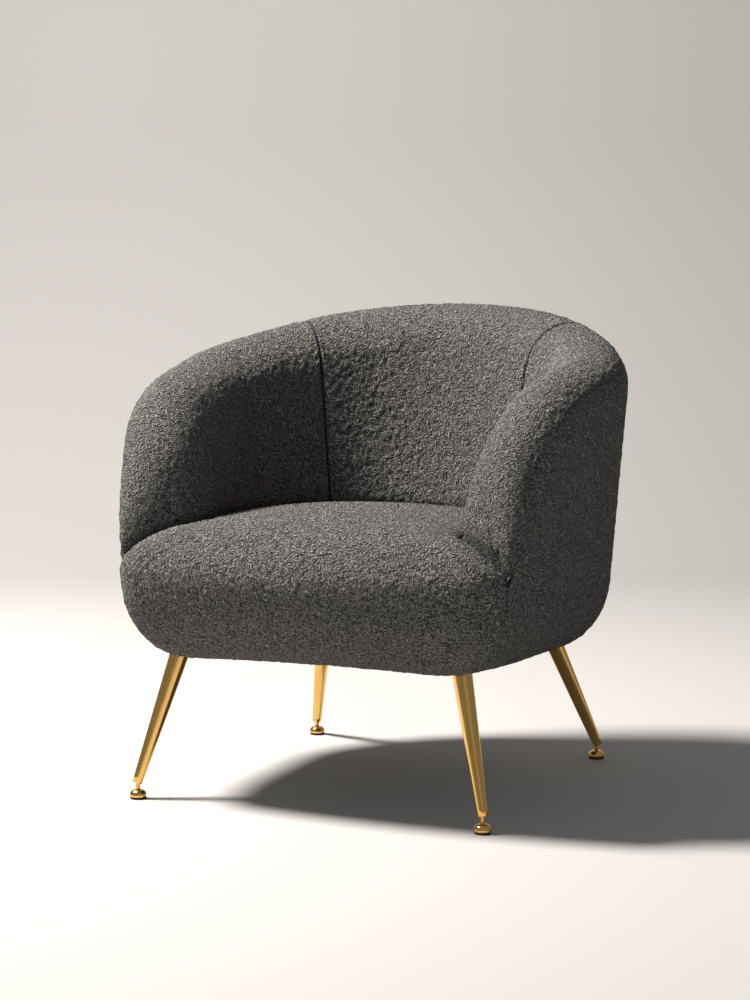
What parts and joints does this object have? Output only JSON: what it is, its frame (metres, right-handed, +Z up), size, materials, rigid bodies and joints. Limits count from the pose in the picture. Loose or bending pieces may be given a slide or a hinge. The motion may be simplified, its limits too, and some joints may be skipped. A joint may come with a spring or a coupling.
{
  "type": "tub chair",
  "caption": "Upholstered tub chair with a curved wrap-round back and arms, a crowned seat, and splayed tapered tubular legs with levelling feet.",
  "frame": {"origin": "on the floor, under the middle of the chair's width and depth", "axes": "+Z up, the chair's front faces -Y, +X is to the right of someone who looks along +Y"},
  "size_m": [0.7198, 0.6614, 0.712],
  "materials": {
    "boucle": "curly looped boucle cloth over foam",
    "fibreboard": "pressed fibreboard",
    "beech": "planed, unfinished",
    "spring_steel": "drawn wire",
    "webbing": "woven band",
    "lining": "thin non-woven cloth",
    "polished_gold": "polished",
    "zinc_steel": "zinc plated",
    "glide_pad": "matte black"
  },
  "bodies": {
    "chair": {"outside_cover": "boucle", "inside_arm_left": "boucle", "inside_arm_right": "boucle", "inside_back": "boucle", "seat": "boucle", "barrel_board": "fibreboard", "front_rail": "beech", "rear_rail": "beech", "side_rail_left": "beech", "side_rail_right": "beech", "arm_rail_left": "beech", "arm_rail_right": "beech", "arm_post_left": "beech", "arm_post_right": "beech", "back_post_left": "beech", "back_post_right": "beech", "back_top_rail": "beech", "back_lower_rail": "beech", "spring_1": "spring_steel", "spring_2": "spring_steel", "spring_3": "spring_steel", "spring_4": "spring_steel", "spring_5": "spring_steel", "webbing_1": "webbing", "webbing_2": "webbing", "webbing_3": "webbing", "dust_cloth": "lining", "leg_front_left": "polished_gold", "leg_plate_front_left": "zinc_steel", "leg_bolt_front_left": "zinc_steel", "corner_block_front_left": "beech", "foot_plug_front_left": "zinc_steel", "leg_front_right": "polished_gold", "leg_plate_front_right": "zinc_steel", "leg_bolt_front_right": "zinc_steel", "corner_block_front_right": "beech", "foot_plug_front_right": "zinc_steel", "leg_rear_left": "polished_gold", "leg_plate_rear_left": "zinc_steel", "leg_bolt_rear_left": "zinc_steel", "corner_block_rear_left": "beech", "foot_plug_rear_left": "zinc_steel", "leg_rear_right": "polished_gold", "leg_plate_rear_right": "zinc_steel", "leg_bolt_rear_right": "zinc_steel", "corner_block_rear_right": "beech", "foot_plug_rear_right": "zinc_steel"},
    "stud_front_left": {"foot_stud_front_left": "polished_gold"},
    "glide_front_left": {"foot_dome_front_left": "polished_gold", "foot_pad_front_left": "glide_pad"},
    "stud_front_right": {"foot_stud_front_right": "polished_gold"},
    "glide_front_right": {"foot_dome_front_right": "polished_gold", "foot_pad_front_right": "glide_pad"},
    "stud_rear_left": {"foot_stud_rear_left": "polished_gold"},
    "glide_rear_left": {"foot_dome_rear_left": "polished_gold", "foot_pad_rear_left": "glide_pad"},
    "stud_rear_right": {"foot_stud_rear_right": "polished_gold"},
    "glide_rear_right": {"foot_dome_rear_right": "polished_gold", "foot_pad_rear_right": "glide_pad"}
  },
  "joints": [
    {"name": "foot_lower_front_left", "type": "slide", "parent": "chair", "child": "stud_front_left", "axis": [0, 0, -1], "range_m": [0, 0.005]},
    {"name": "foot_turn_front_left", "type": "hinge", "parent": "stud_front_left", "child": "glide_front_left", "pos_m": [-0.268, -0.28114, 0.01], "axis": [0, 0, -1], "range_deg": [0, 1800]},
    {"name": "foot_lower_front_right", "type": "slide", "parent": "chair", "child": "stud_front_right", "axis": [0, 0, -1], "range_m": [0, 0.005]},
    {"name": "foot_turn_front_right", "type": "hinge", "parent": "stud_front_right", "child": "glide_front_right", "pos_m": [0.268, -0.28114, 0.01], "axis": [0, 0, -1], "range_deg": [0, 1800]},
    {"name": "foot_lower_rear_left", "type": "slide", "parent": "chair", "child": "stud_rear_left", "axis": [0, 0, -1], "range_m": [0, 0.005]},
    {"name": "foot_turn_rear_left", "type": "hinge", "parent": "stud_rear_left", "child": "glide_rear_left", "pos_m": [-0.243, 0.26586, 0.01], "axis": [0, 0, -1], "range_deg": [0, 1800]},
    {"name": "foot_lower_rear_right", "type": "slide", "parent": "chair", "child": "stud_rear_right", "axis": [0, 0, -1], "range_m": [0, 0.005]},
    {"name": "foot_turn_rear_right", "type": "hinge", "parent": "stud_rear_right", "child": "glide_rear_right", "pos_m": [0.243, 0.26586, 0.01], "axis": [0, 0, -1], "range_deg": [0, 1800]}
  ],
  "couplings": [
    {"joint": "foot_lower_front_left", "follows": "foot_turn_front_left", "m_per_rad": 0.00015915},
    {"joint": "foot_lower_front_right", "follows": "foot_turn_front_right", "m_per_rad": 0.00015915},
    {"joint": "foot_lower_rear_left", "follows": "foot_turn_rear_left", "m_per_rad": 0.00015915},
    {"joint": "foot_lower_rear_right", "follows": "foot_turn_rear_right", "m_per_rad": 0.00015915}
  ]
}
